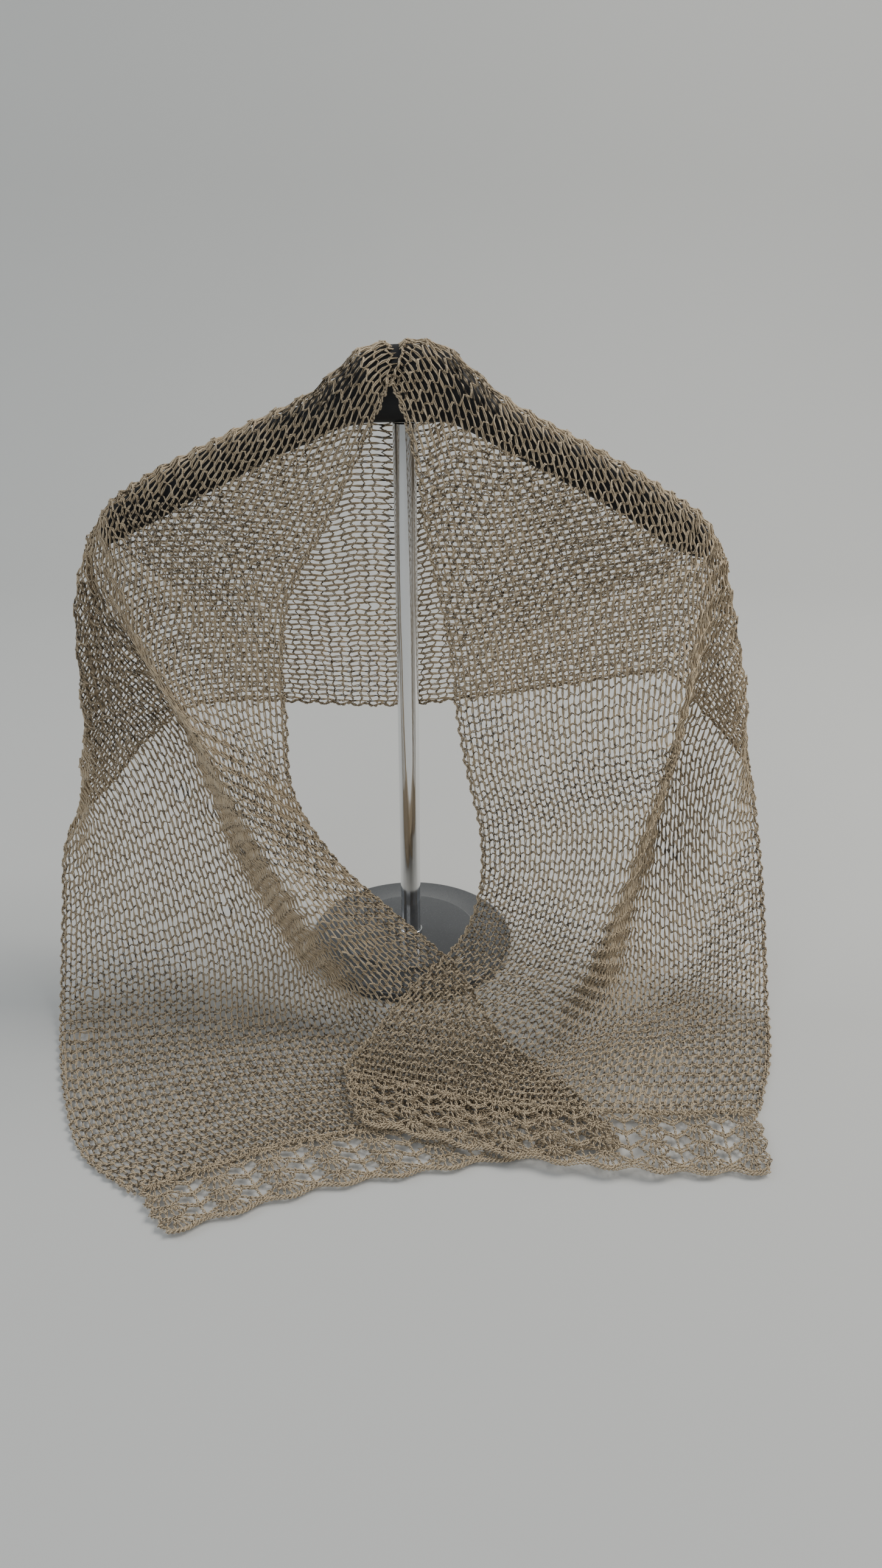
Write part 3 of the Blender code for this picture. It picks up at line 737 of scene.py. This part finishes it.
class Border:
    def __init__(self, node, knitEnd, outward):
        self.node, self.knitEnd, self.outward = node, knitEnd, outward
        self.mesh = YarnMesh()
        self.repeat = crochet["width"] / (crochet["shells"] - 1 + crochet["shellShare"])
        self.shell = self.repeat * crochet["shellShare"]
        self.tier = (crochet["depth"] - crochet["rimDepth"]) / crochet["tiers"]
        _, normal = cloth.point(np.array([knitEnd + outward * 20.0]), np.array([0.5]), np.array([0.0]))
        self.upward = float(np.sign(normal[0, 2]))

    def place(self, across, down, height):
        # a place on the border: mm across from the neck edge, mm below the knitting, mm up
        fall = np.clip(down / crochet["depth"], 0, 1)
        swell = np.cos((across - self.shell / 2) / self.repeat * 2 * math.pi) * 0.5 + 0.5
        reach = down - crochet["scallopRise"] * fall * (1 - swell)
        notch = crochet["sideNotch"] / cloth.width * np.maximum(0, 1 - crochet["notchFade"] * fall)
        share = notch + across / crochet["width"] * (1 - 2 * notch)
        station = np.clip(self.knitEnd + self.outward * reach, *crochet["stations"])
        outside = (share < 0) * share + (share > 1) * (share - 1)
        point, normal = cloth.point(station, np.clip(share, 0, 1), height * self.upward)
        edge = cloth.point(station, np.full_like(share, 0.98), height)[0]
        inner = cloth.point(station, np.full_like(share, 0.96), height)[0]
        sideways = (edge - inner) / 0.02
        return point + sideways * outside[:, None], normal * self.upward

    def cord(self, across, down, height, spread=1.1, turnLength=7.0, radius=None):
        jitter = crochet["uneven"]
        across = across + rng.normal() * jitter
        down = down + rng.normal() * jitter * 0.6
        path, up = self.place(across, down, height)
        self.mesh.pair(path, up, radius or crochet["strandRadius"], spread, turnLength,
                       rng.uniform(0, 2 * math.pi))

    def addShell(self, centre, top):
        # trebles fanned out from one foot, and an arc of chain over their tips
        fan = math.radians(crochet["fanDegrees"])
        count = crochet["trebles"]
        s = np.linspace(0, 1, 8)
        for k in range(count):
            a = fan * (2 * k / (count - 1) - 1) + rng.normal() * 0.03
            tipAcross = centre + 0.56 * self.shell * math.sin(a) / math.sin(fan)
            tipDown = top + self.tier * (0.06 + 0.94 * math.cos(a))
            footAcross = centre + 1.6 * (2 * k / (count - 1) - 1)
            across = footAcross + (tipAcross - footAcross) * s ** 0.9
            down = top + 0.4 + (tipDown - top - 0.4) * s
            height = 0.3 + 1.3 * np.sin(np.pi * s ** 0.8) + 0.3 * rng.normal()
            self.cord(across, down, height, 1.25, 9.0)
            self.cord(across[3:6] + np.array([-1.0, 0.0, 1.0]), down[3:6] + np.array([0.9, 0.0, -0.9]),
                      height[3:6] + 0.9, 0.9, 30.0, crochet["thinRadius"])
        a = np.linspace(-fan * 1.08, fan * 1.08, 24)
        wave = np.cos(a / (2 * fan) * (count - 1) * 2 * math.pi)
        across = centre + 0.585 * self.shell * np.sin(a) / math.sin(fan)
        down = top + self.tier * (0.09 + 0.98 * np.cos(a)) + 0.35 * wave
        self.cord(across, down, 0.9 + 0.5 * wave, 1.7, 5.0)

    def addPost(self, middle):
        # the twisted post between two columns, with a knot at the foot of every tier
        s = np.linspace(0, 1, 30)
        self.cord(middle + 0.5 * np.sin(s * 9), 0.5 + s * (crochet["depth"] - 2.5), 1.0 + 0 * s, 1.5, 6.5)
        for tier in range(crochet["tiers"]):
            turn = np.linspace(0, 2 * math.pi, 9)
            self.cord(middle + 1.5 * np.cos(turn), self.tier * (tier + 0.96) + 1.2 * np.sin(turn),
                      1.5 + 0.6 * np.sin(turn * 2), 0.8, 12.0, crochet["thinRadius"])

    def addBars(self, centre, middle, top):
        # the double chain from a shell's shoulder to the post beside it
        side = 1 if middle > centre else -1
        s = np.linspace(0, 1, 7)
        for lift in (0.0, 2.4):
            start = centre + side * 0.50 * self.shell
            down = top + self.tier * (0.50 + 0.42 * s) + lift - 1.0 + 0.5 * np.sin(np.pi * s)
            self.cord(start + (middle - start) * s, down, 0.7 + 0.4 * np.sin(np.pi * s), 1.0, 5.0)

    def addHeader(self):
        # clusters that join the crochet to the last row of knitting
        across = np.linspace(1, crochet["width"] - 1, 240)
        for phase, amount, level in ((0.0, 1.7, 0.4), (2.1, 1.4, 1.6), (4.0, 1.1, 3.0)):
            wave = np.sin(across / 4.1 * 2 * math.pi + phase + 1.3 * np.sin(across / 23 + phase))
            height = 0.9 + 0.7 * np.cos(across / 2.05 * math.pi + phase)
            self.cord(across, level + amount * wave, height, 1.2, 8.0)

    def addRim(self):
        # two chains along the scallops and one down each side
        across = np.linspace(0.4, crochet["width"] - 0.4, 300)
        links = np.cos(across / 3.2 * 2 * math.pi)
        self.cord(across, crochet["depth"] - 0.9 + 0 * across, 0.9 + 0.3 * links, 1.7, 6.0)
        self.cord(across, crochet["depth"] - 2.7 + 0.4 * links, 0.9 + 0.4 * links, 1.5, 4.6)
        down = np.linspace(0, crochet["depth"] - 1, 40)
        bulge = 1.6 * np.sin(down / self.tier * 2 * math.pi - 0.6)
        for edge, sign in ((0.6, -1), (crochet["width"] - 0.6, 1)):
            self.cord(edge + sign * bulge, down, 0.9 + 0 * down, 1.6, 6.0)

    def make(self):
        for k in range(crochet["shells"]):
            centre = self.shell / 2 + k * self.repeat
            for tier in range(crochet["tiers"]):
                self.addShell(centre, tier * self.tier + 0.4)
                for side in (-1, 1):
                    if 0 <= k + side < crochet["shells"]:
                        self.addBars(centre, centre + side * self.repeat / 2, tier * self.tier)
            if k < crochet["shells"] - 1:
                self.addPost(centre + self.repeat / 2)
        self.addHeader()
        self.addRim()
        piece = dress(self.mesh.make("crochet_" + self.node, crochetYarn), "crochet", self.node)


Border("left_border", leftKnitEnd, -1).make()
Border("right_border", rightKnitEnd, 1).make()
print("borders made")

# The stand: a moulded bar, a chromed tube with a ring at its foot, and an enamelled foot

stand = {
    "footRadius": 83.0,         # mm
    "rimHeight": 9.0,
    "plateauRadius": 54.0,
    "plateauHeight": 12.0,
    "poleRadius": 8.0,
    "gap": 0.3,
    "ringWall": 0.8,
    "ringHeight": 2.3,
    "segments": 144,
}


def turned(name, profile, material):
    # a profile of (radius, height) in mm turned about the pole's axis
    segments = stand["segments"]
    angles = 2 * np.pi * np.arange(segments) / segments
    points, rings = [], []
    for radius, height in profile:
        if radius == 0:
            rings.append([len(points)] * segments)
            points.append((0, 0, height * mm))
        else:
            rings.append([len(points) + k for k in range(segments)])
            points += [(radius * mm * math.cos(a), radius * mm * math.sin(a), height * mm) for a in angles]
    if profile[0][0] != 0:
        rings.append(rings[0])
    faces = []
    for low, high in zip(rings, rings[1:]):
        for k in range(segments):
            n = (k + 1) % segments
            face = list(dict.fromkeys([low[k], low[n], high[n], high[k]]))
            faces.append(face)
    made = meshObject(name, points, faces, [material])
    made.data.set_sharp_from_angle(angle=math.radians(32))
    return made


def arc(radius, height, size, first, last, steps=5):
    return [(radius + size * math.cos(math.radians(a)), height + size * math.sin(math.radians(a)))
            for a in np.linspace(first, last, steps)]


def enamel():
    graph = Graph("foot_enamel", Metallic=0.0, Coat_Weight=0.6, Coat_Roughness=0.06)
    dust = graph.noise(55.0, 4.0, 0.6)
    specks = graph.ramp(graph.noise(700.0, 2.0), (0.60, (0, 0, 0)), (0.72, (1, 1, 1)))
    graph.feed("Base Color", graph.mixed(dust, (0.040, 0.043, 0.048), (0.060, 0.064, 0.070)))
    graph.feed("Roughness", 0.16 + dust * 0.10 + specks * 0.15)
    graph.bump(graph.noise(260.0, 2.0), 0.05, 0.0004)
    return graph.material


def chrome(name):
    graph = Graph(name, Metallic=1.0)
    smear = graph.noise(38.0, 4.0, 0.6)
    graph.feed("Base Color", graph.mixed(smear, (0.74, 0.745, 0.75), (0.84, 0.84, 0.835)))
    graph.feed("Roughness", 0.045 + smear * 0.07)
    return graph.material


def barPlastic():
    graph = Graph("bar_plastic", Metallic=0.0)
    graph.shader.inputs["Specular IOR Level"].default_value = 0.35
    grain = graph.noise(1400.0, 2.0)
    scuff = graph.noise(24.0, 5.0, 0.65)
    graph.feed("Base Color", graph.mixed(scuff, (0.008, 0.008, 0.009), (0.018, 0.018, 0.019)))
    graph.feed("Roughness", 0.48 + scuff * 0.22)
    graph.bump(grain, 0.25, 0.0002)
    return graph.material


def makeStand():
    s = stand
    foot = [(0, 0), (s["footRadius"] - 1, 0)] + arc(s["footRadius"] - 1, 1, 1, -90, 0, 4)
    foot += arc(s["footRadius"] - 3, s["rimHeight"] - 3, 3, 0, 90, 8)
    foot += [(s["plateauRadius"] + 2.2, s["rimHeight"] + 0.1),
             (s["plateauRadius"] + 1.4, s["rimHeight"] + 0.5)]
    foot += arc(s["plateauRadius"] - 1, s["plateauHeight"] - 1, 1, 10, 90, 5) + [(0, s["plateauHeight"])]
    dress(turned("foot", foot, enamel()), "foot_enamel", "stand_base")
    top = barSectionAt(0).bottom - s["gap"]
    bottom = s["plateauHeight"] + s["gap"]
    pole = [(0, bottom), (s["poleRadius"], bottom), (s["poleRadius"], top), (0, top)]
    dress(turned("pole", pole, chrome("pole_chrome")), "chrome", "stand_pole")
    inner, outer = s["poleRadius"] + s["gap"], s["poleRadius"] + s["gap"] + s["ringWall"]
    high = bottom + s["ringHeight"]
    ring = [(inner, bottom), (outer, bottom)] + arc(outer - 0.5, high - 0.5, 0.5, 0, 90, 5) + [(inner, high)]
    dress(turned("pole_ring", ring, chrome("ring_chrome")), "chrome", "pole_collar")
    sides = 36
    alongs = [row.along for row in shoulderBar]
    wanted = np.concatenate([np.linspace(-214, -206, 7), np.arange(-202, 204, 4.0), np.linspace(206, 216, 8)])
    sections = splineThrough(alongs, [row[1:] for row in shoulderBar], wanted)
    points = [barRingPoint(BarSection(x, *map(float, section)), 2 * math.pi * (k + 0.5) / sides)
              for x, section in zip(wanted, sections) for k in range(sides)]
    faces = [(i * sides + k, i * sides + (k + 1) % sides,
              (i + 1) * sides + (k + 1) % sides, (i + 1) * sides + k)
             for i in range(len(wanted) - 1) for k in range(sides)]
    faces += [tuple(range(sides))[::-1], tuple((len(wanted) - 1) * sides + k for k in range(sides))]
    bar = meshObject("bar", [(x * mm, y * mm, z * mm) for x, y, z in points], faces, [barPlastic()])
    bar.data.set_sharp_from_angle(angle=math.radians(50))
    dress(bar, "bar_plastic", "shoulder_bar")


makeStand()
print("stand made")
